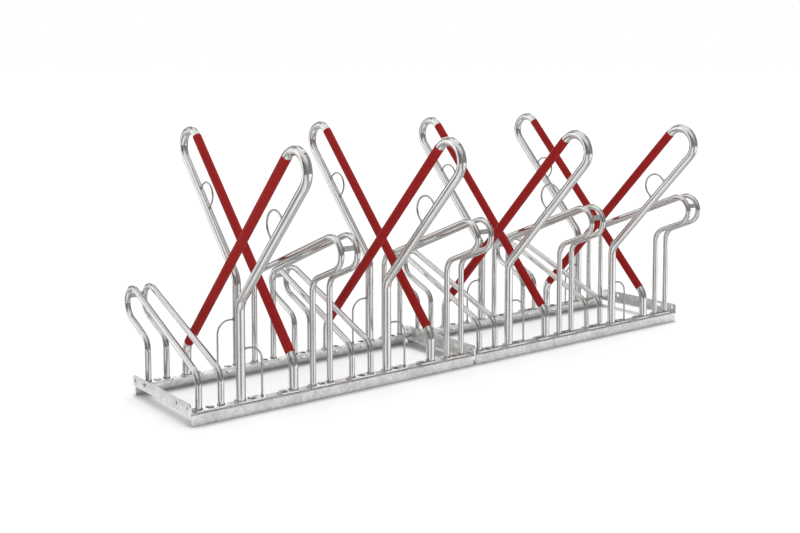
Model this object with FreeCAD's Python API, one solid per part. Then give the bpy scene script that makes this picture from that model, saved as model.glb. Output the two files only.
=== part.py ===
"""Two-sided bike leaning rack: two equal floor frames, bolted together end to end.

Each frame has two angle-iron rails and two cross angles. Every bay takes a bike from each side. The bike
from the front rolls into a low wheel holder, a pair of bent tube hoops that narrows towards its end out over
the back, and leans on a bar that slopes out over the front. The bike from the back has a high holder and a
bar the other way round. Each bar has a red sleeve on its long lower run. Sizes are millimetres. X runs along
the rack, Y from front to back and Z up, with the origin on the ground, mid footprint.
"""
import FreeCAD
import Part
import os
from math import asin, atan, cos, degrees, pi, radians, sin, tan

# Layout along the rack
frame_count = 2
bays_per_frame = 2
bay_pitch = 500.0
low_holder_inset = 68.0       # middle of the low holder, from its bay's left end
high_holder_inset = 73.0      # middle of the high holder, from its bay's right end
bar_spacing = 170.0           # between the planes of a bay's two leaning bars

# Floor frame: rails and cross angles
base_depth = 360.0            # over the outer faces of the rails
rail_width = 35.0
rail_height = 35.0
rail_wall = 4.0
cross_leg = 35.0
cross_wall = 4.0
root_radius = 1.5             # inside the fold of every angle
weld_gap = 2.0                # where an angle ends beside another one's fold
cross_corner_radius = 10.0
cross_hole_height = 21.0      # above the heel of the cross angle
coupling_inset = 79.0         # coupling bolts, from the rails' outer faces
coupling_slot_length = 20.0
corner_hole_inset = 16.0
corner_hole_diameter = 9.0

# Leaning bars
bar_diameter = 26.9
bar_wall = 2.3
bar_bend_radius = 54.0
bar_angle = 46.5              # of the two sloping runs, from level
rack_height = 760.0
sleeve_corner_height = 123.0  # where the line of the sleeved run meets its leg
vent_diameter = 6.0

# Sleeve on the lower run of the leaning bar
sleeve_wall = 0.6
sleeve_fit = 0.15
sleeve_end_margin = 2.0       # bare tube between the sleeve and each bend

# Wheel holders
entry_spacing = 67.0          # between the two hoops, at the feet where the wheel comes in
stop_spacing = 58.0           # and at the feet under the end bend
hoop_diameter = 18.0
hoop_wall = 2.0
hoop_bend_radius = 47.5
hoop_angle = 22.0
holder_reach = 258.0          # centre of the end bend, from the middle of the rack
low_holder_height = 306.0
high_holder_rise = 184.0
rung_width = 15.0
rung_thickness = 5.0

# Lock eye on the bare run and lock wire beside the bare leg
wire_diameter = 6.0
eye_width = 80.0
eye_reach = 67.0              # from the bar's centre line
eye_from_corner = 301.0       # along the bare run
lock_wire_height = 182.0
lock_wire_offset = 67.5
lock_wire_bend = 40.0
weld_seam = 0.1               # between a wire or a rung and the tube that it is welded to

# Foot plates, bolts and nuts
plate_thickness = 5.0
plate_inset = 1.0             # from both edges of the rail
plate_margin = 6.0            # beyond a hoop or a lock wire
bar_plate_margin = 3.0        # beyond a bar's leg or the bolt head beside it
plate_corner_radius = 10.0
bolt_diameter = 10.0
bolt_hole_diameter = 11.0
bolt_head_diameter = 24.0
bolt_head_height = 2.8
bolt_head_rim = 1.0
bolt_leg_gap = 8.0            # between a bar's leg and the bolt head beside it
hex_head_height = 6.4
nut_across_flats = 17.0
nut_height = 8.0
nut_flange_diameter = 21.0
nut_flange_height = 2.0
nut_fit = 0.15
thread_stick_out = 3.0

# Worked out from the sizes above
bay_count = frame_count * bays_per_frame
frame_length = bays_per_frame * bay_pitch
left_end = -frame_count * frame_length / 2
leg_row = (base_depth - rail_width) / 2
leg_span = 2 * leg_row
foot_height = rail_height + plate_thickness
heel_height = rail_height - rail_wall - cross_wall
bar_radius = bar_diameter / 2
hoop_radius = hoop_diameter / 2
hoop_spacing = (entry_spacing + stop_spacing) / 2
narrowing = (entry_spacing - stop_spacing) / leg_span
hoop_swing = degrees(atan(narrowing / 2))
wire_radius = wire_diameter / 2
head_radius = bolt_head_diameter / 2
bolt_from_leg = bar_radius + bolt_leg_gap + head_radius

FRONT = -1
BACK = 1
ORIGIN = FreeCAD.Vector(0, 0, 0)
X_AXIS = FreeCAD.Vector(1, 0, 0)
Y_AXIS = FreeCAD.Vector(0, 1, 0)
Z_AXIS = FreeCAD.Vector(0, 0, 1)
TINY = 1e-6


def point(x, y, z):
    return FreeCAD.Vector(x, y, z)


def placed(shape, x=0.0, y=0.0, z=0.0, turn=0.0):
    """A copy of a shape, turned about the upright axis by some degrees, then shifted."""
    copy = shape.copy()
    copy.rotate(ORIGIN, Z_AXIS, turn)
    copy.translate(point(x, y, z))
    return copy


def save(name, *shapes):
    """Write one node: a single solid, or a group of equal, separate solids."""
    solids = [solid for shape in shapes for solid in shape.Solids]
    node = solids[0] if len(solids) == 1 else Part.makeCompound(solids)
    node.exportStep(os.path.join("parts", name + ".step"))


def line(start, end):
    return Part.LineSegment(start, end).toShape()


def bent_path(corners, radius):
    """A wire through the corners, each one rounded by a tangent arc of the same radius."""
    edges = []
    start = corners[0]
    for before, corner, after in zip(corners, corners[1:], corners[2:]):
        into = (corner - before).normalize()
        out = (after - corner).normalize()
        half_turn = into.getAngle(out) / 2
        trim = radius * tan(half_turn)
        arc_start = corner - into * trim
        arc_end = corner + out * trim
        inward = (out - into).normalize()
        arc_middle = corner + inward * (radius / cos(half_turn) - radius)
        if (arc_start - start).Length > TINY:
            edges.append(line(start, arc_start))
        edges.append(Part.Arc(arc_start, arc_middle, arc_end).toShape())
        start = arc_end
    edges.append(line(start, corners[-1]))
    return Part.Wire(edges)


def rod(corners, bend_radius, radius):
    """A round bar bent along the corners."""
    path = bent_path(corners, bend_radius)
    ring = Part.Wire(Part.makeCircle(radius, corners[0], corners[1] - corners[0]))
    return path.makePipeShell([ring], True, False)


def tube(corners, bend_radius, radius, wall):
    """A round tube bent along the corners, open at both ends."""
    return rod(corners, bend_radius, radius).cut(rod(corners, bend_radius, radius - wall))


def angle_iron(web, flange, wall, length):
    """An angle along +X: heel on the X axis, web towards +Y, flange towards -Z, heel rounded."""
    heel = root_radius + wall
    heel_middle = heel * (1 - cos(pi / 4))
    root_middle = heel - root_radius * cos(pi / 4)
    heel_arc = Part.Arc(point(0, 0, -heel), point(0, heel_middle, -heel_middle), point(0, heel, 0))
    root_arc = Part.Arc(point(0, heel, -wall), point(0, root_middle, -root_middle), point(0, wall, -heel))
    section = Part.Wire([
        heel_arc.toShape(),
        line(point(0, heel, 0), point(0, web, 0)),
        line(point(0, web, 0), point(0, web, -wall)),
        line(point(0, web, -wall), point(0, heel, -wall)),
        root_arc.toShape(),
        line(point(0, wall, -heel), point(0, wall, -flange)),
        line(point(0, wall, -flange), point(0, 0, -flange)),
        line(point(0, 0, -flange), point(0, 0, -heel)),
    ])
    return Part.Face(section).extrude(X_AXIS * length)


def hexagon(height, base):
    """A hexagonal prism of the nuts' width, standing on the given level."""
    corner = nut_across_flats / 2 / cos(pi / 6)
    corners = [point(corner * cos(i * pi / 3), corner * sin(i * pi / 3), base) for i in range(7)]
    return Part.Face(Part.makePolygon(corners)).extrude(Z_AXIS * height)


def make_rail(x_start, x_end, side, bolt_places):
    """A rail with its flange outside, its web inward on top, and a hole for each foot bolt."""
    rail = angle_iron(rail_width, rail_height, rail_wall, x_end - x_start)
    rail.translate(point(x_start, -base_depth / 2, rail_height))
    if side == BACK:
        rail.rotate(point((x_start + x_end) / 2, 0, 0), Z_AXIS, 180)
    for x in bolt_places:
        drill_start = point(x, side * leg_row, rail_height - rail_wall)
        rail = rail.cut(Part.makeCylinder(bolt_hole_diameter / 2, rail_wall, drill_start))
    return rail


def make_cross_angle():
    """The left cross angle: flange upright at x = 0, web under the rails' webs, coped at their flanges.

    One coupling hole is round and the other is a level slot, so that two frames line up easily.
    """
    angle = angle_iron(cross_leg, cross_leg, cross_wall, base_depth)
    angle.rotate(ORIGIN, point(1, 1, 0), 180)
    angle.translate(point(0, -base_depth / 2, heel_height))
    top = heel_height + cross_leg
    hole_height = heel_height + cross_hole_height
    cope_depth = rail_wall + weld_gap
    for side in (FRONT, BACK):
        edge = side * base_depth / 2
        cope = Part.makeBox(cross_leg, cope_depth, cross_leg)
        cope.translate(point(cross_wall, min(edge, edge - side * cope_depth), heel_height))
        angle = angle.cut(cope)
        round_centre = point(0, edge - side * cross_corner_radius, top - cross_corner_radius)
        corner = Part.makeBox(cross_wall, cross_corner_radius, cross_corner_radius)
        corner.translate(point(0, min(edge, round_centre.y), round_centre.z))
        corner = corner.cut(Part.makeCylinder(cross_corner_radius, cross_wall, round_centre, X_AXIS))
        angle = angle.cut(corner)
        corner_hole = point(0, edge - side * corner_hole_inset, hole_height)
        angle = angle.cut(Part.makeCylinder(corner_hole_diameter / 2, cross_wall, corner_hole, X_AXIS))
    hole_radius = bolt_hole_diameter / 2
    coupling_row = base_depth / 2 - coupling_inset
    slot_ends = [coupling_row + half * (coupling_slot_length / 2 - hole_radius) for half in (-1, 1)]
    for y in [-coupling_row] + slot_ends:
        drill_start = point(0, y, hole_height)
        angle = angle.cut(Part.makeCylinder(hole_radius, cross_wall, drill_start, X_AXIS))
    slot = Part.makeBox(cross_wall, coupling_slot_length - bolt_hole_diameter, bolt_hole_diameter)
    slot.translate(point(0, slot_ends[0], hole_height - hole_radius))
    return angle.cut(slot)


# Leaning bar in its own plane, leaning out over the front
slope = radians(bar_angle)
bar_out = point(0, -cos(slope), sin(slope))
bar_across = point(0, sin(slope), cos(slope))
corner_rise = (leg_span * sin(slope) - 2 * bar_bend_radius) / cos(slope)
bare_corner = point(0, -leg_row, sleeve_corner_height + corner_rise)
sleeve_corner = point(0, leg_row, sleeve_corner_height)
bend_height = rack_height - bar_radius - bar_bend_radius
bend_from_middle = (bend_height - sleeve_corner_height - corner_rise / 2) / tan(slope)
bend_centre = point(0, -bend_from_middle, bend_height)
bend_end = bend_centre + bar_out * bar_bend_radius


def make_leaning_bar():
    """One bent tube from rail to rail, with a vent hole at the outer end of its top bend."""
    corners = [
        point(0, -leg_row, foot_height),
        bare_corner,
        bend_end - bar_across * bar_bend_radius,
        bend_end + bar_across * bar_bend_radius,
        sleeve_corner,
        point(0, leg_row, foot_height),
    ]
    bar = tube(corners, bar_bend_radius, bar_radius, bar_wall)
    return bar.cut(Part.makeCylinder(vent_diameter / 2, bar_diameter, bend_end, bar_out))


def make_sleeve():
    """The sleeve over the straight run between the bar's top bend and its lower bend."""
    lower_trim = bar_bend_radius * tan((pi / 2 - slope) / 2)
    start = sleeve_corner + bar_out * (lower_trim + sleeve_end_margin)
    end = bend_centre + bar_across * bar_bend_radius - bar_out * sleeve_end_margin
    length = (end - start).Length
    bore = bar_radius + sleeve_fit
    skin = Part.makeCylinder(bore + sleeve_wall, length, start, bar_out)
    return skin.cut(Part.makeCylinder(bore, length, start, bar_out))


def make_lock_eye():
    """A bow of round wire on the inner side of the bare run, to take a lock or a chain."""
    foot = bare_corner + bar_out * eye_from_corner
    side = bar_out * (eye_width / 2)
    reach = bar_across * eye_reach
    corners = [foot - side, foot - side + reach, foot + side + reach, foot + side]
    bow = rod(corners, eye_width / 2, wire_radius)
    run_length = (bend_centre - bare_corner).dot(bar_out)
    return bow.cut(Part.makeCylinder(bar_radius + weld_seam, run_length, bare_corner, bar_out))


def make_lock_wire():
    """A wire that leaves the bare leg level, bends down and stands on the leg's foot plate."""
    corners = [
        point(0, -leg_row, lock_wire_height),
        point(lock_wire_offset, -leg_row, lock_wire_height),
        point(lock_wire_offset, -leg_row, foot_height),
    ]
    wire = rod(corners, lock_wire_bend, wire_radius)
    leg = Part.makeCylinder(bar_radius + weld_seam, bare_corner.z, point(0, -leg_row, 0))
    return wire.cut(leg)


# Wheel holder hoop in its own plane, reaching out over the front
rise = radians(hoop_angle)
hoop_out = point(0, -cos(rise), sin(rise))
hoop_across = point(0, sin(rise), cos(rise))
hoop_bend_centre = point(0, -holder_reach, low_holder_height - hoop_radius - hoop_bend_radius)
hoop_bend_end = hoop_bend_centre + hoop_out * hoop_bend_radius
hoop_corner_middle = hoop_bend_centre.z - holder_reach * tan(rise)
hoop_corner_shift = (leg_span / 2 * sin(rise) - hoop_bend_radius) / cos(rise)


def hoop_corners(lift):
    """Corners of a hoop from its back foot, along the upper run, to its front foot."""
    raised = point(0, 0, lift)
    return [
        point(0, leg_row, foot_height),
        point(0, leg_row, hoop_corner_middle - hoop_corner_shift) + raised,
        hoop_bend_end + hoop_across * hoop_bend_radius + raised,
        hoop_bend_end - hoop_across * hoop_bend_radius + raised,
        point(0, -leg_row, hoop_corner_middle + hoop_corner_shift) + raised,
        point(0, -leg_row, foot_height),
    ]


def make_hoop(lift):
    """One hoop of a wheel holder; the hoops of a high holder stand on longer legs."""
    return tube(hoop_corners(lift), hoop_bend_radius, hoop_radius, hoop_wall)


def make_rung(lift):
    """A short flat bar that ties the two hoops together at the outer end of their bends."""
    length = hoop_spacing + narrowing * hoop_bend_end.y
    bar = Part.makeBox(length, rung_thickness, rung_width)
    bar.translate(point(-length / 2, -rung_thickness / 2, -rung_width / 2))
    bar.rotate(ORIGIN, X_AXIS, -hoop_angle)
    bar.translate(hoop_bend_end + point(0, 0, lift))
    weld_face = rod(hoop_corners(lift), hoop_bend_radius, hoop_radius + weld_seam)
    for half in (-1, 1):
        bar = bar.cut(placed(weld_face, half * hoop_spacing / 2, turn=-half * hoop_swing))
    return bar


def is_upright(edge):
    return edge.tangentAt(edge.FirstParameter).cross(Z_AXIS).Length < TINY


def make_foot_plate(x_low, x_high, bolt_x):
    """A flat plate with rounded corners and a bolt hole, to lie on the middle of a rail."""
    depth = rail_width - 2 * plate_inset
    plate = Part.makeBox(x_high - x_low, depth, plate_thickness, point(x_low, -depth / 2, rail_height))
    uprights = [edge for edge in plate.Edges if is_upright(edge)]
    plate = plate.makeFillet(plate_corner_radius, uprights)
    drill_start = point(bolt_x, 0, rail_height)
    return plate.cut(Part.makeCylinder(bolt_hole_diameter / 2, plate_thickness, drill_start))


def make_holder_plate(spacing):
    """The plate under two legs of a holder, with its bolt midway between them."""
    half = spacing / 2 + hoop_radius + plate_margin
    return make_foot_plate(-half, half, 0.0)


def make_foot_bolt():
    """A bolt with a low domed head, its head resting on the foot plate."""
    dome_height = bolt_head_height - bolt_head_rim
    dome_radius = (head_radius ** 2 + dome_height ** 2) / (2 * dome_height)
    half_sweep = asin(head_radius / dome_radius) / 2
    dome_drop = dome_radius * (1 - cos(half_sweep))
    corner = point(head_radius, 0, 0)
    rim = point(head_radius, 0, bolt_head_rim)
    crown = point(0, 0, bolt_head_height)
    dome_middle = point(dome_radius * sin(half_sweep), 0, bolt_head_height - dome_drop)
    dome = Part.Arc(rim, dome_middle, crown).toShape()
    half_section = Part.Wire([line(ORIGIN, corner), line(corner, rim), dome, line(crown, ORIGIN)])
    head = Part.Face(half_section).revolve(ORIGIN, Z_AXIS, 360)
    length = plate_thickness + rail_wall + nut_height + thread_stick_out
    shank = Part.makeCylinder(bolt_diameter / 2, length, point(0, 0, -length))
    return placed(head.fuse(shank).removeSplitter(), z=foot_height)


def make_nut():
    """A flanged nut with a plain bore, its flange facing up at z = 0."""
    flange = Part.makeCylinder(nut_flange_diameter / 2, nut_flange_height, point(0, 0, -nut_flange_height))
    body = flange.fuse(hexagon(nut_height - nut_flange_height, -nut_height)).removeSplitter()
    return body.cut(Part.makeCylinder(bolt_diameter / 2 + nut_fit, nut_height, point(0, 0, -nut_height)))


def make_coupling_bolt():
    """A hexagon bolt along +X through the two cross angles that meet at x = 0."""
    length = 2 * cross_wall + nut_height + thread_stick_out
    shank = Part.makeCylinder(bolt_diameter / 2, length)
    bolt = hexagon(hex_head_height, -hex_head_height).fuse(shank).removeSplitter()
    bolt.rotate(ORIGIN, Y_AXIS, 90)
    return placed(bolt, x=-cross_wall)


def make_coupling_nut():
    """The nut of a coupling bolt, seated on the second cross angle."""
    nut = make_nut()
    nut.rotate(ORIGIN, Y_AXIS, -90)
    return placed(nut, x=cross_wall)


os.makedirs("parts", exist_ok=True)

leaning_bar = make_leaning_bar()
sleeve = make_sleeve()
lock_eye = make_lock_eye()
lock_wire = make_lock_wire()
low_hoop = make_hoop(0.0)
high_hoop = make_hoop(high_holder_rise)
low_rung = make_rung(0.0)
high_rung = make_rung(high_holder_rise)
entry_plate = make_holder_plate(entry_spacing)
stop_plate = make_holder_plate(stop_spacing)
leg_end = -bar_radius - bar_plate_margin
bare_leg_plate = make_foot_plate(leg_end, lock_wire_offset + wire_radius + plate_margin, bolt_from_leg)
sleeved_leg_plate = make_foot_plate(leg_end, bolt_from_leg + head_radius + bar_plate_margin, bolt_from_leg)

# Pieces that share a node, and the places of the foot bolts on each rail
rungs = []
holder_plates = []
bare_leg_plates = []
sleeved_leg_plates = []
lock_wires = {"front": [], "back": []}
bolt_places = {FRONT: [], BACK: []}

# The bays: in each one a front set, and a back set that is turned half round
for bay in range(bay_count):
    low_holder = left_end + bay * bay_pitch + low_holder_inset
    high_holder = left_end + (bay + 1) * bay_pitch - high_holder_inset
    middle = (low_holder + high_holder) / 2
    sets = [
        ("front", FRONT, middle - bar_spacing / 2, high_holder, "high", high_hoop, high_rung),
        ("back", BACK, middle + bar_spacing / 2, low_holder, "low", low_hoop, low_rung),
    ]
    for face, side, bar_x, holder_x, level, hoop, rung in sets:
        turn = 180 if side == BACK else 0
        number = str(bay + 1)
        save("leaning_bar_" + face + "_" + number, placed(leaning_bar, bar_x, turn=turn))
        save("bar_sleeve_" + face + "_" + number, placed(sleeve, bar_x, turn=turn))
        save("lock_eye_" + face + "_" + number, placed(lock_eye, bar_x, turn=turn))
        lock_wires[face].append(placed(lock_wire, bar_x, turn=turn))
        for half, hand in ((-1, "left"), (1, "right")):
            hoop_x = holder_x + half * hoop_spacing / 2
            swing = side * half * hoop_swing
            save(level + "_hoop_" + number + "_" + hand, placed(hoop, hoop_x, turn=turn + swing))
        rungs.append(placed(rung, holder_x, turn=turn))
        for rail_side in (FRONT, BACK):
            plate = stop_plate if rail_side == side else entry_plate
            holder_plates.append(placed(plate, holder_x, rail_side * leg_row))
            bolt_places[rail_side].append(holder_x)
        bare_leg_plates.append(placed(bare_leg_plate, bar_x, side * leg_row, turn=turn))
        sleeved_leg_plates.append(placed(sleeved_leg_plate, bar_x, -side * leg_row, turn=turn))
        bolt_x = bar_x - side * bolt_from_leg
        bolt_places[FRONT].append(bolt_x)
        bolt_places[BACK].append(bolt_x)

# The floor frames
cross_angle = make_cross_angle()
rail_inset = cross_wall + weld_gap
for frame in range(frame_count):
    start = left_end + frame * frame_length
    end = start + frame_length
    number = str(frame + 1)
    for face, side in (("front", FRONT), ("back", BACK)):
        places = [x for x in bolt_places[side] if start < x < end]
        save("rail_" + face + "_" + number, make_rail(start + rail_inset, end - rail_inset, side, places))
    save("cross_angle_left_" + number, placed(cross_angle, start))
    save("cross_angle_right_" + number, placed(cross_angle, end, turn=180))

# Pieces in groups
for face, wires in lock_wires.items():
    save("lock_wires_" + face, *wires)
save("holder_rungs", *rungs)
save("holder_foot_plates", *holder_plates)
save("bare_leg_foot_plates", *bare_leg_plates)
save("sleeved_leg_foot_plates", *sleeved_leg_plates)

foot_bolt = make_foot_bolt()
foot_nut = placed(make_nut(), z=rail_height - rail_wall)
foot_places = [(x, side * leg_row) for side, row in bolt_places.items() for x in row]
save("foot_bolts", *[placed(foot_bolt, x, y) for x, y in foot_places])
save("foot_nuts", *[placed(foot_nut, x, y) for x, y in foot_places])

coupling_bolt = make_coupling_bolt()
coupling_nut = make_coupling_nut()
coupling_height = heel_height + cross_hole_height
seams = [left_end + frame * frame_length for frame in range(1, frame_count)]
rows = [side * (base_depth / 2 - coupling_inset) for side in (FRONT, BACK)]
coupling_places = [(x, y, coupling_height) for x in seams for y in rows]
save("coupling_bolts", *[placed(coupling_bolt, x, y, z) for x, y, z in coupling_places])
save("coupling_nuts", *[placed(coupling_nut, x, y, z) for x, y, z in coupling_places])
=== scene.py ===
# %% [markdown]
# A bike leaning rack: bent steel tubes on two angle-iron floor frames, dipped whole in molten zinc, with a
# red plastic sleeve on each leaning bar. The solids come finished from the imported model, so this lesson is
# about looks: the light, the zinc, the plastic and the weld beads.

# %% Load the rack
import math

import bmesh
import bpy
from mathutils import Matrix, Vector


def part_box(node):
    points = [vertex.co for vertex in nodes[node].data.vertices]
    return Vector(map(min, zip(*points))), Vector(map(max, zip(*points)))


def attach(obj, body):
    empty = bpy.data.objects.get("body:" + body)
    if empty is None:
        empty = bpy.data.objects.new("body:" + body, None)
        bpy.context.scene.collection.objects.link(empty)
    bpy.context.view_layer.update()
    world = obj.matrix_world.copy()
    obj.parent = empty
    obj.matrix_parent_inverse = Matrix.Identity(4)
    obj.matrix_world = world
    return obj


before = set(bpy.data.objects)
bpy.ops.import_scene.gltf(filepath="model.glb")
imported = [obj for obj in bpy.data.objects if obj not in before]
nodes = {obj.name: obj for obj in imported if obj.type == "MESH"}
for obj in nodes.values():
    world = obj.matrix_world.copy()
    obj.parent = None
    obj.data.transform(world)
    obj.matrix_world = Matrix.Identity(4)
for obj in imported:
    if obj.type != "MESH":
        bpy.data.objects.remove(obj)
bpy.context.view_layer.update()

# %% [markdown]
# Light, floor and finishes are all small node trees, and each tree needs the same few moves: add a node,
# set what is fixed, link what comes from another node. One helper does all of that, so the trees read like
# recipes. The others are short forms of what is needed most often.

# %% Helpers
WHITE = (1, 1, 1, 1)
OPEN_SAMPLES = 8


def new_object(name, data):
    """An object that is linked to the scene."""
    thing = bpy.data.objects.new(name, data)
    bpy.context.scene.collection.objects.link(thing)
    return thing


def empty_tree(owner):
    """The node tree of a material or a world, with nothing in it."""
    owner.use_nodes = True
    owner.node_tree.nodes.clear()
    return owner.node_tree


def add_node(tree, kind, inputs=None, **settings):
    """A node with its settings, whose inputs are fixed values or links to other nodes' outputs."""
    node = tree.nodes.new(kind)
    for name, value in settings.items():
        setattr(node, name, value)
    for name, value in (inputs or {}).items():
        if isinstance(value, bpy.types.NodeSocket):
            tree.links.new(value, node.inputs[name])
        else:
            node.inputs[name].default_value = value
    return node


def math_node(tree, operation, first, second=0.0):
    """The result of a Math node; an operation on one value leaves the second alone."""
    return add_node(tree, "ShaderNodeMath", {0: first, 1: second}, operation=operation).outputs[0]


def spread(tree, value, low, high, to_low=0.0, to_high=1.0):
    """Stretch a value from one range to another and stop at its ends."""
    ranges = {"From Min": low, "From Max": high, "To Min": to_low, "To Max": to_high}
    return add_node(tree, "ShaderNodeMapRange", {"Value": value, **ranges}).outputs["Result"]


def openness(tree, reach):
    """1 where no other surface is within reach, and less in corners."""
    nearby = add_node(tree, "ShaderNodeAmbientOcclusion", {"Distance": reach}, samples=OPEN_SAMPLES)
    return nearby.outputs["AO"]


print("helpers ready")

# %% [markdown]
# The picture was taken with a long, nearly level lens that was slid downwards, so uprights stay almost
# parallel. A camera in Blender can do the same with its shift. A full slide would push the rack out of the
# frame in every other view, so this camera tips down a little and slides less far, which looks alike.

# %% Camera
PICTURE_WIDTH = 800
PICTURE_HEIGHT = 533
FOCAL_PIXELS = 1104.8
AXIS_ROW = 139.6  # the row of the picture that the lens's axis passes through
SENSOR_WIDTH = 36.0
VIEW_DEPTH = 1000.0
CAMERA_PLACE = (-2.3005, -2.7911, 0.9651)
CAMERA_TURN = math.radians(37.45)
CAMERA_TIP = math.radians(4.0)

camera_data = bpy.data.cameras.new("camera")
camera_data.sensor_width = SENSOR_WIDTH
camera_data.lens = FOCAL_PIXELS / PICTURE_WIDTH * SENSOR_WIDTH
camera_data.shift_y = (AXIS_ROW - PICTURE_HEIGHT / 2) / PICTURE_WIDTH
camera_data.clip_end = VIEW_DEPTH
camera = new_object("camera", camera_data)
camera.location = CAMERA_PLACE
camera.rotation_euler = (math.pi / 2 - CAMERA_TIP, 0.0, -CAMERA_TURN)
bpy.context.scene.camera = camera
bpy.context.scene.view_settings.view_transform = "Standard"
print("lens", round(camera_data.lens, 1), "mm, shift", round(camera_data.shift_y, 3))

# %% [markdown]
# The background is pure white, but white light from everywhere would drown the shadows. So the sky has two
# strengths: what the camera and the shiny zinc see is white, and what lights the rack is softer.

# %% White surroundings
SKY_LIGHT = 0.75
SKY_SEEN = 1.0


def seen_directly(tree):
    """1 for rays from the camera, a mirror surface or glass, 0 for rays that carry soft light."""
    rays = add_node(tree, "ShaderNodeLightPath").outputs
    shiny = math_node(tree, "MAXIMUM", rays["Is Glossy Ray"], rays["Is Transmission Ray"])
    return math_node(tree, "MAXIMUM", rays["Is Camera Ray"], shiny)


world = bpy.data.worlds.new("studio")
bpy.context.scene.world = world
sky = empty_tree(world)
lit = add_node(sky, "ShaderNodeBackground", {"Color": WHITE, "Strength": SKY_LIGHT})
seen = add_node(sky, "ShaderNodeBackground", {"Color": WHITE, "Strength": SKY_SEEN})
both = add_node(sky, "ShaderNodeMixShader",
                {0: seen_directly(sky), 1: lit.outputs[0], 2: seen.outputs[0]})
add_node(sky, "ShaderNodeOutputWorld", {"Surface": both.outputs[0]})
print("sky light", SKY_LIGHT)

# %% [markdown]
# A soft sun gives the light a direction: from above, and a little from the right and from behind, so that
# contact shadows fall to the front and the left. Its disc is very wide, so they fade within a hand's
# breadth. Sky and sun come to just over 1 on level ground, and then a colour looks in the picture about as
# it is written here. The disc would draw a glaring spot on every tube, so mirror rays don't see it.

# %% Soft sun
SUN_SHARE = 0.35
SUN_FROM = Vector((0.40, 0.28, 0.87)).normalized()
SUN_WIDTH = math.radians(55)

sun = bpy.data.lights.new("soft_sun", "SUN")
sun.angle = SUN_WIDTH
sun.energy = SUN_SHARE * math.pi / SUN_FROM.z
sun_object = new_object("soft_sun", sun)
sun_object.rotation_euler = SUN_FROM.to_track_quat("Z", "Y").to_euler()
sun_object.visible_glossy = False
print("sun", round(sun.energy, 2), "W per square metre")

# %% [markdown]
# The floor is white paper. Part of its white is lit and part is a glow, so a wide shadow stays pale, as it
# does in a product picture. The glow fades where the rack stands close by, over a wide reach for the soft
# border of a shadow and over a short one for the thin dark line under the rails. Both parts add up to just
# over white in the open, so the floor runs into the background without an edge. Mirror rays see the paper
# only nearby: a rail mirrors its own shadow, and a tall tube looks through the paper to the cards of the
# next cell.

# %% Floor
FLOOR_HALF = 150.0
FLOOR_PAPER = (0.60, 0.60, 0.60, 1)
FLOOR_GLOW = 0.46
# A contact is a reach in metres, and the open shares at which the glow starts and is full
WIDE_CONTACT = (0.06, 0.15, 0.75)
CLOSE_CONTACT = (0.03, 0.50, 1.00)
MIRROR_NEAR = 0.10
MIRROR_FAR = 0.20

floor_mesh = bpy.data.meshes.new("floor")
floor_corners = [(-1, -1), (1, -1), (1, 1), (-1, 1)]
floor_points = [(x * FLOOR_HALF, y * FLOOR_HALF, 0.0) for x, y in floor_corners]
floor_mesh.from_pydata(floor_points, [], [(0, 1, 2, 3)])
floor = new_object("floor", floor_mesh)
paper = bpy.data.materials.new("white_paper")
sheet = empty_tree(paper)
paper_lit = add_node(sheet, "ShaderNodeBsdfDiffuse", {"Color": FLOOR_PAPER})
glow = FLOOR_GLOW
for reach, start, full in (WIDE_CONTACT, CLOSE_CONTACT):
    opened = spread(sheet, openness(sheet, reach), start, full)
    glow = math_node(sheet, "MULTIPLY", opened, glow)
paper_light = add_node(sheet, "ShaderNodeEmission", {"Color": WHITE, "Strength": glow})
paper_sum = add_node(sheet, "ShaderNodeAddShader", {0: paper_lit.outputs[0], 1: paper_light.outputs[0]})
rays = add_node(sheet, "ShaderNodeLightPath").outputs
far = spread(sheet, rays["Ray Length"], MIRROR_NEAR, MIRROR_FAR)
far_mirror = math_node(sheet, "MULTIPLY", far, rays["Is Glossy Ray"])
clear = add_node(sheet, "ShaderNodeBsdfTransparent")
paper_seen = add_node(sheet, "ShaderNodeMixShader",
                      {0: far_mirror, 1: paper_sum.outputs[0], 2: clear.outputs[0]})
add_node(sheet, "ShaderNodeOutputMaterial", {"Surface": paper_seen.outputs[0]})
floor_mesh.materials.append(paper)
print("floor", 2 * FLOOR_HALF, "m wide")

# %% [markdown]
# Zinc in an all-white room looks like paper. A photographer hangs grey cards round shiny things, and their
# reflections draw the dark stripes and edges of the tubes. Each card here is a patch of a large ball round
# the rack, and only mirror rays see it. A tube that is looked down on mirrors what lies below the horizon,
# so many cards hang there. Those behind the camera make a dark room, which the round heads of the bars
# show. A few cards are brighter than the sky and whiten level tops and the lit sides of the tubes.

# %% Grey cards
CARD_DISTANCE = 12.0
CARD_STEP = 6.0
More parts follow.
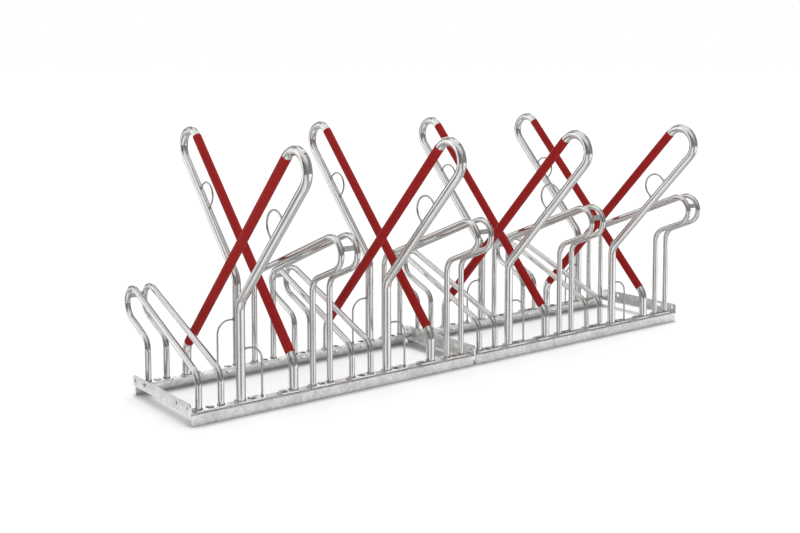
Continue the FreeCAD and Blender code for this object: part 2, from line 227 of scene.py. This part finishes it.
# First and last bearing, lower and upper height over the horizon, all in degrees, and brightness
CARDS = [
    (22, 80, -28, 2, 0.24),
    (96, 120, -28, -8, 0.72),
    (128, 148, -30, -9, 0.58),
    (148, 170, -28, -6, 0.27),
    (170, 188, -28, -9, 0.46),
    (-131, -97, -28, 16, 0.30),
    (-76, -36, -28, -11, 1.12),
    (-80, -16, -11, -4, 1.38),
    (-16, 22, -28, 2, 0.30),
    (80, 118, 0, 13, 0.18),
    (80, 118, 13, 30, 0.52),
    (122, 148, -9, 9, 1.25),
    (133, 150, 9, 34, 1.30),
    (156, 180, -6, 12, 0.16),
    (164, 180, 12, 36, 0.16),
    (22, 46, 3, 25, 0.32),
    (38, 62, 26, 60, 0.10),
    (-97, 13, -3, 33, 0.28),
    (-85, 13, 33, 61, 0.36),
    (-105, -38, 61, 78, 0.72),
    (-145, -105, 61, 78, 0.72),
    (100, 146, -66, -33, 0.41),
    (148, 167, -41, -28, 0.24),
    (-60, 100, -80, -30, 0.62),
    (-105, -60, -80, -66, 0.62),
    (-180, 180, -90, -80, 0.42),
    (48, 74, 4, 24, 1.50),
    (-180, -131, -5, 30, 0.20),
    (-131, -97, 16, 33, 0.50),
    (-180, -97, 33, 44, 0.60),
    (78, 131, 30, 56, 0.38),
    (-110, -60, -66, -28, 0.45),
]


def on_ball(bearing, height):
    """A point of the ball, from its bearing and its height over the horizon in degrees."""
    level = CARD_DISTANCE * math.cos(math.radians(height))
    return (level * math.cos(math.radians(bearing)), level * math.sin(math.radians(bearing)),
            CARD_DISTANCE * math.sin(math.radians(height)))


def card_grid(first, last, lower, upper):
    """The points and faces of a card, in steps of up to CARD_STEP degrees."""
    across = math.ceil((last - first) / CARD_STEP)
    tall = math.ceil((upper - lower) / CARD_STEP)
    bearings = [first + (last - first) * column / across for column in range(across + 1)]
    heights = [lower + (upper - lower) * row / tall for row in range(tall + 1)]
    points = [on_ball(bearing, height) for height in heights for bearing in bearings]
    faces = []
    for row in range(tall):
        for corner in range(row * (across + 1), row * (across + 1) + across):
            faces.append((corner, corner + 1, corner + across + 2, corner + across + 1))
    return points, faces


for number, (first, last, lower, upper, brightness) in enumerate(CARDS):
    paint = bpy.data.materials.new("card_paint_" + str(number))
    paint_tree = empty_tree(paint)
    paint_glow = add_node(paint_tree, "ShaderNodeEmission", {"Color": WHITE, "Strength": brightness})
    add_node(paint_tree, "ShaderNodeOutputMaterial", {"Surface": paint_glow.outputs[0]})
    points, faces = card_grid(first, last, lower, upper)
    card_mesh = bpy.data.meshes.new("card")
    card_mesh.from_pydata(points, [], faces)
    card_mesh.materials.append(paint)
    card = new_object("card_" + str(number), card_mesh)
    card.visible_camera = False
    card.visible_diffuse = False
    card.visible_shadow = False
print(len(CARDS), "cards at", CARD_DISTANCE, "m")

# %% [markdown]
# A finish starts as a Principled shader whose inputs come from patterns laid out in metres, so a crystal of
# a centimetre is a centimetre on every piece. These helpers are the few patterns and sums that all finishes
# below are mixed from.

# %% Pattern helpers


def new_finish(name):
    """A material with one Principled shader, and the shared place coordinate in metres."""
    material = bpy.data.materials.new(name)
    material.use_nodes = True
    tree = material.node_tree
    shader = tree.nodes["Principled BSDF"]
    place = add_node(tree, "ShaderNodeTexCoord").outputs["Object"]
    return material, tree, shader, place


def noise(tree, place, scale, detail=3.0):
    """Soft noise between 0 and 1 with the given number of patches per metre."""
    pattern = {"Vector": place, "Scale": scale, "Detail": detail}
    return add_node(tree, "ShaderNodeTexNoise", pattern).outputs["Fac"]


def weighted(tree, values, weights):
    """The sum of values, each times its weight."""
    total = None
    for value, weight in zip(values, weights):
        part = math_node(tree, "MULTIPLY", value, weight)
        total = part if total is None else math_node(tree, "ADD", total, part)
    return total


def blend(tree, share, first, second):
    """A colour between two colours; a Mix node keeps its colour sockets at 6, 7 and 2."""
    return add_node(tree, "ShaderNodeMix", {0: share, 6: first, 7: second}, data_type="RGBA").outputs[2]


def dress(material, *starts):
    """Put a finish on every node whose name starts with one of the given words."""
    dressed = [node for name, node in nodes.items() if name.startswith(starts)]
    for node in dressed:
        node.data.materials.clear()
        node.data.materials.append(material)
    print(material.name, "on", len(dressed), "nodes")


print("pattern helpers ready")

# %% [markdown]
# Zinc freezes on steel in flat crystals, the spangle, with cloudy duller patches between them. Crystals are
# Voronoi cells, each a slightly different grey, and the patches are a slow noise. A coat runs between two
# greys, which are a trace warmer than neutral. Hoops are slightly greyer than bars, and thin wires, weld
# beads and the plated bolts are greyer still; in wires and beads that darker grey is partly painted shade.
# Corners such as the feet of the tubes get painted shade: the ambient occlusion node finds them, and there
# the colour turns to one dark grey.

# %% Zinc recipe
BAR_GREYS = ((0.60, 0.60, 0.59, 1), (0.83, 0.83, 0.82, 1))
HOOP_GREYS = ((0.55, 0.55, 0.54, 1), (0.78, 0.78, 0.77, 1))
ANGLE_GREYS = ((0.48, 0.48, 0.47, 1), (0.93, 0.93, 0.92, 1))
# The wire greys are darker partly as painted shade on their thin round sides
WIRE_SHADED_GREYS = ((0.34, 0.34, 0.33, 1), (0.60, 0.60, 0.59, 1))
RUNG_GREYS = ((0.62, 0.62, 0.61, 1), (0.93, 0.93, 0.92, 1))
# The dark end of the bead greys is partly painted shade at the feet of the tubes
BEAD_SHADED_GREYS = ((0.24, 0.24, 0.23, 1), (0.62, 0.62, 0.61, 1))
BOLT_AND_SHADE_GREYS = ((0.30, 0.30, 0.29, 1), (0.58, 0.58, 0.57, 1))
NUT_GREYS = ((0.58, 0.58, 0.57, 1), (0.90, 0.90, 0.89, 1))
CORNER_SHADE_GREY = (0.14, 0.135, 0.13, 1)
TUBE_SHADE_REACH = 0.008
FLAT_SHADE_REACH = 0.004
CORNER_LIMITS = (0.30, 0.72)  # open shares at which the painted corner shade covers all and has gone


def spangle(tree, place, per_metre):
    """A random grey for each zinc crystal."""
    cells = add_node(tree, "ShaderNodeTexVoronoi", {"Vector": place, "Scale": per_metre})
    return add_node(tree, "ShaderNodeSeparateColor", {"Color": cells.outputs["Color"]}).outputs["Red"]


def zinc_coat(name, tone, greys, gloss, waves, reach=FLAT_SHADE_REACH, polish=None):
    """A zinc finish. Its tone, from 0 to 1, picks between the two greys and the two roughnesses of gloss; a
    polish, if given, picks the roughness instead. Waves are ripples per metre and their height."""
    material, tree, shader, place = new_finish(name)
    share = tone(tree, place)
    grey = blend(tree, share, *greys)
    # Painted shade: in corners that ambient occlusion finds, the colour turns to one dark grey
    unshaded = spread(tree, openness(tree, reach), *CORNER_LIMITS)
    tree.links.new(blend(tree, unshaded, CORNER_SHADE_GREY, grey), shader.inputs["Base Color"])
    polished = polish(tree) if polish else share
    tree.links.new(spread(tree, polished, 0.0, 1.0, *gloss), shader.inputs["Roughness"])
    per_metre, height = waves
    ripples = noise(tree, place, per_metre)
    bump = add_node(tree, "ShaderNodeBump", {"Height": ripples, "Distance": height})
    tree.links.new(bump.outputs["Normal"], shader.inputs["Normal"])
    shader.inputs["Metallic"].default_value = 1.0
    return material


print("bars from", BAR_GREYS[0][0], "to", BAR_GREYS[1][0])

# %% [markdown]
# Molten zinc runs down a tube as it leaves the bath and leaves streaks along it. The streaks are noise that
# is stretched along the tube: along the upright in a leg, and along the slope in a run. A leg is known by
# its distance from the leg row, so one finish serves both, and no texture map is needed.

# %% Streaky tubes
LEG_ROW = 0.1625
LEG_LIMITS = (0.012, 0.022)  # distances from the leg row between which a leg turns into a run
BAR_SLOPE = math.radians(46.5)
HOOP_SLOPE = math.radians(22.0)
STREAKS_ROUND = 150.0
STREAKS_ALONG = 12.0
STREAK_SCALE = (STREAKS_ROUND, STREAKS_ALONG, STREAKS_ROUND)
STREAK_DETAIL = 2.5
TUBE_CLOUDS = 30.0  # per metre, like the streaks and the crystals
TUBE_CRYSTALS = 160.0
TUBE_SHARES = (0.65, 0.25, 0.10)  # of streaks, clouds and crystals
TUBE_TONES = (0.25, 0.75)
TUBE_GLOSS = (0.17, 0.12)
TUBE_WAVES = (30.0, 0.00004)


def tube_tone(slope, side_operation, side_factor):
    """A recipe for a tube whose runs rise outwards at the given slope; the operation makes Y an outward
    distance."""
    def tone(tree, place):
        parts = add_node(tree, "ShaderNodeSeparateXYZ", {0: place}).outputs
        outward = math_node(tree, side_operation, parts["Y"], side_factor)
        folded = add_node(tree, "ShaderNodeCombineXYZ", {"X": parts["X"], "Y": outward, "Z": parts["Z"]})
        run = add_node(tree, "ShaderNodeMapping", {"Vector": folded.outputs[0], "Rotation": (-slope, 0, 0)})
        leg = add_node(tree, "ShaderNodeMapping", {"Vector": place, "Rotation": (-math.pi / 2, 0, 0)})
        streaks = []
        for way in (leg, run):
            stretched = add_node(tree, "ShaderNodeVectorMath", {0: way.outputs[0], 1: STREAK_SCALE},
                                 operation="MULTIPLY")
            streaks.append(noise(tree, stretched.outputs[0], 1.0, STREAK_DETAIL))
        depth = math_node(tree, "ABSOLUTE", parts["Y"])
        from_row = math_node(tree, "ABSOLUTE", math_node(tree, "SUBTRACT", depth, LEG_ROW))
        on_run = spread(tree, from_row, *LEG_LIMITS)
        streak = add_node(tree, "ShaderNodeMix", {0: on_run, 2: streaks[0], 3: streaks[1]}).outputs[0]
        cloud = noise(tree, place, TUBE_CLOUDS)
        mixed = weighted(tree, (streak, cloud, spangle(tree, place, TUBE_CRYSTALS)), TUBE_SHARES)
        return spread(tree, mixed, *TUBE_TONES)
    return tone


bar_tone = tube_tone(BAR_SLOPE, "ABSOLUTE", 0.0)
high_tone = tube_tone(HOOP_SLOPE, "MULTIPLY", -1.0)
low_tone = tube_tone(HOOP_SLOPE, "MULTIPLY", 1.0)
for start, tone, greys in (("leaning_bar", bar_tone, BAR_GREYS), ("high_hoop", high_tone, HOOP_GREYS),
                           ("low_hoop", low_tone, HOOP_GREYS)):
    dress(zinc_coat("galvanised_" + start, tone, greys, TUBE_GLOSS, TUBE_WAVES, TUBE_SHADE_REACH), start)

# %% [markdown]
# Rolled angle iron takes a thicker, paler and duller coat than drawn tube. The crystals are larger here,
# with small whitish specks, and the surface is rougher, so it shows no clear reflections. Plates are as
# dull at their edges, but smoother on top, where they mirror the room. Wires get darker greys, partly
# painted shade on their thin round sides, and tyres rub a rung dull.

# %% Angles, plates, wires and rungs
ANGLE_GLOSS = (0.46, 0.36)
PLATE_GLOSS = (0.42, 0.24)
RUNG_GLOSS = (0.54, 0.44)
WIRE_GLOSS = (0.36, 0.26)
ANGLE_WAVES = (45.0, 0.0003)
PLATE_WAVES = (45.0, 0.0001)
WIRE_WAVES = (90.0, 0.0001)
FLAT_CLOUDS = 18.0  # per metre, like the crystals and the specks
CLOUD_DETAIL = 4.0
FLAT_CRYSTALS = 110.0
SPECKS = 210.0
SPECK_DETAIL = 2.0
SPECK_LIMITS = (0.56, 0.68)
FLAT_SHARES = (0.50, 0.25, 0.25)  # of clouds, crystals and specks
FLAT_TONES = (0.20, 0.70, 0.35, 1.0)
LEVEL_LIMITS = (0.4, 0.9)  # the normal's upward part on an edge and on a level face


def level_tops(tree):
    """1 on level faces that look up, 0 on upright edges."""
    facing = add_node(tree, "ShaderNodeTexCoord").outputs["Normal"]
    upward = add_node(tree, "ShaderNodeSeparateXYZ", {0: facing}).outputs["Z"]
    return spread(tree, upward, *LEVEL_LIMITS)


def flat_tone(tree, place):
    """Cloudy zinc with crystals and pale specks."""
    cloud = noise(tree, place, FLAT_CLOUDS, CLOUD_DETAIL)
    speck = spread(tree, noise(tree, place, SPECKS, SPECK_DETAIL), *SPECK_LIMITS)
    mixed = weighted(tree, (cloud, spangle(tree, place, FLAT_CRYSTALS), speck), FLAT_SHARES)
    return spread(tree, mixed, *FLAT_TONES)


angle_zinc = zinc_coat("galvanised_angle", flat_tone, ANGLE_GREYS, ANGLE_GLOSS, ANGLE_WAVES)
plate_zinc = zinc_coat("galvanised_plate", flat_tone, ANGLE_GREYS, PLATE_GLOSS, PLATE_WAVES,
                       polish=level_tops)
wire_zinc = zinc_coat("galvanised_wire", flat_tone, WIRE_SHADED_GREYS, WIRE_GLOSS, WIRE_WAVES)
rung_zinc = zinc_coat("galvanised_rung", flat_tone, RUNG_GREYS, RUNG_GLOSS, WIRE_WAVES)
bead_zinc = zinc_coat("galvanised_bead", flat_tone, BEAD_SHADED_GREYS, WIRE_GLOSS, WIRE_WAVES)
dress(angle_zinc, "rail_", "cross_angle")
dress(plate_zinc, "holder_foot", "bare_leg", "sleeved_leg")
dress(wire_zinc, "lock_")
dress(rung_zinc, "holder_rungs")

# %% [markdown]
# Shoes and rain polish the crown of a bolt head smooth, and the lower ring round it is painted dark as
# shade.
# On a domed head that ring is simply a height, so one threshold in Z paints it on all the foot bolts at
# once.
# Nuts and coupling bolts get no such ring, and their plating is brighter and even.

# %% Bolts and nuts
PLATE_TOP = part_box("holder_foot_plates")[1][2]
# Painted shade: below this height a foot bolt's head is coloured dark as a ring of shade
SHADE_RING_TOP = PLATE_TOP + 0.0013
SHADE_RING_FADE = 0.0003
BOLT_GLOSS = (0.34, 0.16)
BOLT_WAVES = (90.0, 0.00003)
NUT_GLOSS = (0.28, 0.20)


def bolt_shade_ring(tree, place):
    """Bright above the ring of painted shade, dark and rougher in it."""
    height = add_node(tree, "ShaderNodeSeparateXYZ", {0: place}).outputs["Z"]
    return spread(tree, height, SHADE_RING_TOP, SHADE_RING_TOP + SHADE_RING_FADE)


dress(zinc_coat("plated_bolt", bolt_shade_ring, BOLT_AND_SHADE_GREYS, BOLT_GLOSS, BOLT_WAVES), "foot_bolts")
dress(zinc_coat("plated_nut", flat_tone, NUT_GREYS, NUT_GLOSS, WIRE_WAVES), "foot_nuts", "coupling_")

# %% [markdown]
# The sleeve is a thin red plastic skin shrunk onto the bar, so that frames aren't scratched. It is nearly
# flat in colour, with a soft satin gloss and a faint orange-peel surface. Real plastic is never one colour
# all over: a slow noise darkens it a little where hands and frames rub.

# %% Red sleeves
SLEEVE_RED = (0.325, 0.0130, 0.0120, 1)
SLEEVE_WORN = (0.300, 0.0120, 0.0110, 1)
SLEEVE_GLOSS = (0.42, 0.55)
SLEEVE_MIRROR = 0.10
RUBS = 22.0  # worn patches per metre
RUB_LIMITS = (0.35, 0.65)
PEEL = 420.0  # bumps per metre
PEEL_DETAIL = 2.0
PEEL_STRENGTH = 0.12
PEEL_HEIGHT = 0.0002

red_plastic, red_tree, red_shader, red_place = new_finish("red_sleeve_plastic")
rub = spread(red_tree, noise(red_tree, red_place, RUBS), *RUB_LIMITS)
peel = noise(red_tree, red_place, PEEL, PEEL_DETAIL)
red_tree.links.new(blend(red_tree, rub, SLEEVE_RED, SLEEVE_WORN), red_shader.inputs["Base Color"])
red_tree.links.new(spread(red_tree, rub, 0.0, 1.0, *SLEEVE_GLOSS), red_shader.inputs["Roughness"])
red_bump = add_node(red_tree, "ShaderNodeBump",
                    {"Height": peel, "Strength": PEEL_STRENGTH, "Distance": PEEL_HEIGHT})
red_tree.links.new(red_bump.outputs["Normal"], red_shader.inputs["Normal"])
red_shader.inputs["Specular IOR Level"].default_value = SLEEVE_MIRROR
dress(red_plastic, "bar_sleeve")

# %% [markdown]
# Tubes and wires are welded on before the rack is dipped, so a small ripply bead runs round every foot
# under the zinc. A bead is a ring with a five-cornered section that swells a little with each ripple. The
# section's inner corners lie just inside the steel, so no gap shows between bead and tube.

# %% Bead maker
BEAD_SECTION = [(-0.15, -0.10), (1.00, -0.10), (0.82, 0.38), (0.42, 0.78), (-0.15, 1.00)]
BEAD_STEPS = 48
BEAD_RIPPLES = 13
BEAD_SWELL = 0.14
RIPPLE_SHIFT = 7  # how far the ripples turn with each metre along the rack, so that feet differ


def weld_ring(shape, centre, axis, across, radii, size):
    """Add a bead round a foot. It stands at centre and climbs along axis; its first radius lies along
    across."""
    side = axis.cross(across)
    rows = []
    for step in range(BEAD_STEPS):
        turn = 2 * math.pi * step / BEAD_STEPS
        swell = size * (1 + BEAD_SWELL * math.sin(BEAD_RIPPLES * turn + RIPPLE_SHIFT * centre.x))
        row = []
        for outward, upward in BEAD_SECTION:
            first = (radii[0] + outward * swell) * math.cos(turn)
            second = (radii[1] + outward * swell) * math.sin(turn)
            row.append(shape.verts.new(centre + across * first + side * second + axis * (upward * swell)))
        rows.append(row)
    corner_count = len(BEAD_SECTION)
    for row, next_row in zip(rows, rows[1:] + rows[:1]):
        for corner in range(corner_count):
            after = (corner + 1) % corner_count
            face = shape.faces.new((row[corner], row[after], next_row[after], next_row[corner]))
            face.smooth = True


def finish_beads(name, shape):
    """Turn the collected rings into one piece of the rack."""
    bmesh.ops.recalc_face_normals(shape, faces=shape.faces)
    mesh = bpy.data.meshes.new(name)
    shape.to_mesh(mesh)
    shape.free()
    mesh.materials.append(bead_zinc)
    piece = new_object(name, mesh)
    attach(piece, "root")
    print(name, len(mesh.vertices) // BEAD_STEPS // len(BEAD_SECTION), "rings")


print("section of", len(BEAD_SECTION), "corners")

# %% [markdown]
# The feet come first. Bars stand upright on both rails. The two hoops of a holder draw together towards its
# end bend, so their feet are wider apart on the side where the wheel comes in. Middles of bars and holders
# are read from the boxes of the solids.

# %% Beads at the feet
UP = Vector((0, 0, 1))
ALONG = Vector((1, 0, 0))
FRONT = -1
BACK = 1
BAR_RADIUS = 0.01345
HOOP_RADIUS = 0.009
BAR_BEAD = 0.0024
HOOP_BEAD = 0.0026
ENTRY_SPACING = 0.067
STOP_SPACING = 0.058
BAYS = (1, 2, 3, 4)
HOLDERS = (("low", FRONT), ("high", BACK))  # and the side where the wheel comes in


def middle_x(*names):
    """The middle, along the rack, of the box round some nodes."""
    boxes = [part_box(name) for name in names]
    return (min(low[0] for low, high in boxes) + max(high[0] for low, high in boxes)) / 2


foot_shape = bmesh.new()
for bay in BAYS:
    for face in ("front", "back"):
        bar_x = middle_x("leaning_bar_%s_%d" % (face, bay))
        for side in (FRONT, BACK):
            foot = Vector((bar_x, side * LEG_ROW, PLATE_TOP))
            weld_ring(foot_shape, foot, UP, ALONG, (BAR_RADIUS, BAR_RADIUS), BAR_BEAD)
    for level, entry in HOLDERS:
        holder_x = middle_x("%s_hoop_%d_left" % (level, bay), "%s_hoop_%d_right" % (level, bay))
        for side in (FRONT, BACK):
            spacing = ENTRY_SPACING if side == entry else STOP_SPACING
            for half in (-0.5, 0.5):
                foot = Vector((holder_x + half * spacing, side * LEG_ROW, PLATE_TOP))
                weld_ring(foot_shape, foot, UP, ALONG, (HOOP_RADIUS, HOOP_RADIUS), HOOP_BEAD)
finish_beads("foot_weld_beads", foot_shape)

# %% [markdown]
# The lock eyes, the lock wires and the rungs are welded to the tubes in the same way. Each bead lies on the
# tube's skin, and one that goes round a flat rung is an oval.

# %% Beads at wires and rungs
WIRE_RADIUS = 0.003
WIRE_BEAD = 0.0024
BARE_CORNER = 0.3086
EYE_FROM_CORNER = 0.301
EYE_WIDTH = 0.080
LOCK_WIRE_HEIGHT = 0.182
LOCK_WIRE_OFFSET = 0.0675
HOLDER_REACH = 0.258
HOOP_BEND = 0.0475
RUNG_HALF = (0.0075, 0.0025)
RUNG_BEAD = 0.0022

wire_shape = bmesh.new()
rung_shape = bmesh.new()
for bay in BAYS:
    for face, side in (("front", FRONT), ("back", BACK)):
        bar_x = middle_x("leaning_bar_%s_%d" % (face, bay))
        out = Vector((0, side * math.cos(BAR_SLOPE), math.sin(BAR_SLOPE)))
        inward = Vector((0, -side * math.sin(BAR_SLOPE), math.cos(BAR_SLOPE)))
        bare_corner = Vector((bar_x, side * LEG_ROW, BARE_CORNER))
        for half in (-0.5, 0.5):
            eye_end = bare_corner + out * (EYE_FROM_CORNER + half * EYE_WIDTH) + inward * BAR_RADIUS
            weld_ring(wire_shape, eye_end, inward, out, (WIRE_RADIUS, WIRE_RADIUS), WIRE_BEAD)
        away = ALONG * -side
        wire_end = Vector((bar_x, side * LEG_ROW, LOCK_WIRE_HEIGHT)) + away * BAR_RADIUS
        weld_ring(wire_shape, wire_end, away, UP, (WIRE_RADIUS, WIRE_RADIUS), WIRE_BEAD)
        wire_foot = Vector((bar_x, side * LEG_ROW, PLATE_TOP)) + away * LOCK_WIRE_OFFSET
        weld_ring(wire_shape, wire_foot, UP, ALONG, (WIRE_RADIUS, WIRE_RADIUS), WIRE_BEAD)
    for level, entry in HOLDERS:
        hoops = ["%s_hoop_%d_%s" % (level, bay, hand) for hand in ("left", "right")]
        reach = HOLDER_REACH + HOOP_BEND * math.cos(HOOP_SLOPE)
        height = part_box(hoops[0])[1][2] - HOOP_RADIUS - HOOP_BEND * (1 - math.sin(HOOP_SLOPE))
        narrowing = (ENTRY_SPACING - STOP_SPACING) * reach / (2 * LEG_ROW)
        spacing = (ENTRY_SPACING + STOP_SPACING) / 2 - narrowing
        upward = Vector((0, entry * math.sin(HOOP_SLOPE), math.cos(HOOP_SLOPE)))
        for half in (-1, 1):
            skin = half * (spacing / 2 - HOOP_RADIUS)
            rung_end = Vector((middle_x(*hoops) + skin, -entry * reach, height))
            weld_ring(rung_shape, rung_end, ALONG * -half, upward, RUNG_HALF, RUNG_BEAD)
finish_beads("wire_weld_beads", wire_shape)
finish_beads("rung_weld_beads", rung_shape)
